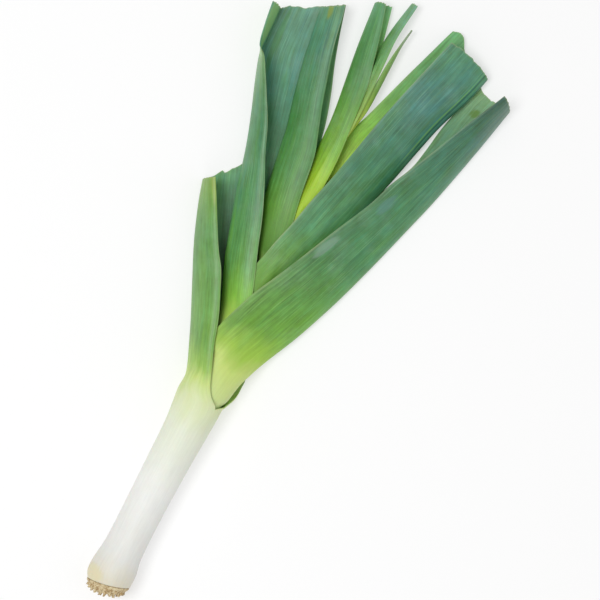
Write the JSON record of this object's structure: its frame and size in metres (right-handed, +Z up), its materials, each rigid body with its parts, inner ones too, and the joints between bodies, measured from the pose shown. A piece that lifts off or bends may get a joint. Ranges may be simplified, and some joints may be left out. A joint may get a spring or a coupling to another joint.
{
  "type": "leek",
  "caption": "Whole trimmed leek lying flat: domed root plate with cut roots, white nested-sheath shank, green folded leaves fanned to both sides with cut ends.",
  "frame": {"origin": "on the surface the leek lies on, at the middle of the small flat spot under the widest place of the bulb", "axes": "+X along the shank from the root plate to the leaf ends, +Y to the left side of the fan of leaves, +Z up from the surface"},
  "size_m": [0.4694, 0.183, 0.0337],
  "materials": {
    "root_plate": "dry fibrous root plate with cut roots",
    "leaf_left_outer": "waxy leaf, satin; white sheath turning green in the blade",
    "leaf_right_outer": "waxy leaf, satin; white sheath turning green in the blade",
    "leaf_left_middle": "waxy leaf, satin; white sheath turning green in the blade",
    "leaf_right_middle": "waxy leaf, satin; white sheath turning green in the blade",
    "leaf_left_inner": "waxy leaf, satin; white sheath turning green in the blade",
    "leaf_heart_wide": "waxy leaf, satin; white sheath turning green in the blade",
    "leaf_heart_narrow": "waxy leaf, satin; white sheath turning green in the blade",
    "leaf_heart_tip": "waxy leaf, satin; white sheath turning green in the blade"
  },
  "bodies": {
    "root": {"root_plate": "root_plate", "leaf_left_outer": "leaf_left_outer", "leaf_right_outer": "leaf_right_outer", "leaf_left_middle": "leaf_left_middle", "leaf_right_middle": "leaf_right_middle", "leaf_left_inner": "leaf_left_inner", "leaf_heart_wide": "leaf_heart_wide", "leaf_heart_narrow": "leaf_heart_narrow", "leaf_heart_tip": "leaf_heart_tip"}
  },
  "joints": []
}
